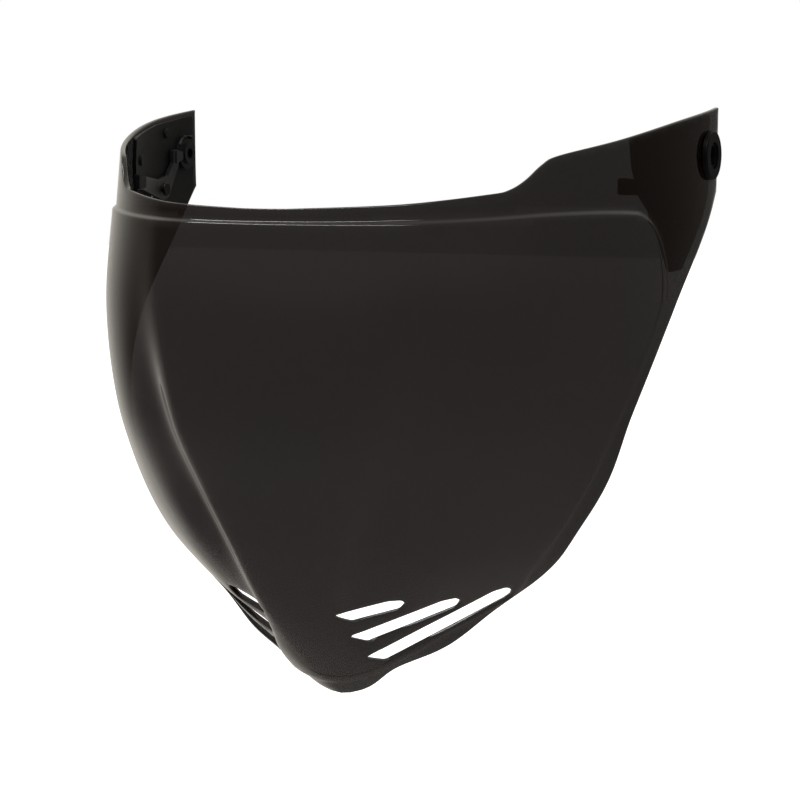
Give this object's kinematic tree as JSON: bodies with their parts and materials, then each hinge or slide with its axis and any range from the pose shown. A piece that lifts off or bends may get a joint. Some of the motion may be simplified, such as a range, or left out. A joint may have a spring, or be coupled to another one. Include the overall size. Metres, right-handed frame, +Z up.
{
  "type": "motorcycle helmet face shield",
  "caption": "Dark smoke full-face motorcycle helmet shield with chin vent slots, inner side plates, pivot hubs and quick-release levers.",
  "frame": {"origin": "middle of the pivot axis, half way between the two ears", "axes": "+X along the pivot axis towards the wearer's left ear, -Y the way the wearer looks, +Z up with the shield closed"},
  "size_m": [0.2548, 0.1713, 0.2369],
  "materials": {
    "lens_smoke": "dark smoke polycarbonate, hard coated, high gloss",
    "plate_plastic": "fine moulded texture, black",
    "cap_plastic": "satin black",
    "hub_plastic": "black acetal",
    "lever_plastic": "black, slightly polished edges",
    "screw_steel": "blackened steel",
    "washer_steel": "plain steel",
    "spring_steel": "spring steel"
  },
  "bodies": {
    "helmet_hubs": {"pivot_hub_left": "hub_plastic", "pivot_hub_right": "hub_plastic", "hub_bush_left": "screw_steel", "hub_bush_right": "screw_steel", "hub_washer_left": "washer_steel", "hub_washer_right": "washer_steel"},
    "shield": {"shield_lens": "lens_smoke", "side_plate_left": "plate_plastic", "side_plate_right": "plate_plastic", "plate_rivets_left": "plate_plastic", "plate_rivets_right": "plate_plastic", "pivot_cap_left": "cap_plastic", "pivot_cap_right": "cap_plastic", "detent_spring_left": "spring_steel", "detent_spring_right": "spring_steel", "lever_pin_left": "screw_steel", "lever_pin_right": "screw_steel", "lever_spring_left": "spring_steel", "lever_spring_right": "spring_steel"},
    "release_lever_left_body": {"release_lever_left": "lever_plastic"},
    "release_lever_right_body": {"release_lever_right": "lever_plastic"}
  },
  "joints": [
    {"name": "shield_swing", "type": "hinge", "parent": "helmet_hubs", "child": "shield", "pos_m": [0, 0, 0], "axis": [-1, 0, 0], "range_deg": [0, 55]},
    {"name": "release_left", "type": "hinge", "parent": "shield", "child": "release_lever_left_body", "pos_m": [0.11841, -0.024, -0.0155], "axis": [1, 0, 0], "range_deg": [0, 8], "stiffness_Nm_per_rad": 0.3, "springref_deg": -6.88, "deforming": ["lever_spring_left"]},
    {"name": "release_right", "type": "hinge", "parent": "shield", "child": "release_lever_right_body", "pos_m": [-0.11841, -0.024, -0.0155], "axis": [1, 0, 0], "range_deg": [0, 8], "stiffness_Nm_per_rad": 0.3, "springref_deg": -6.88, "deforming": ["lever_spring_right"]}
  ]
}
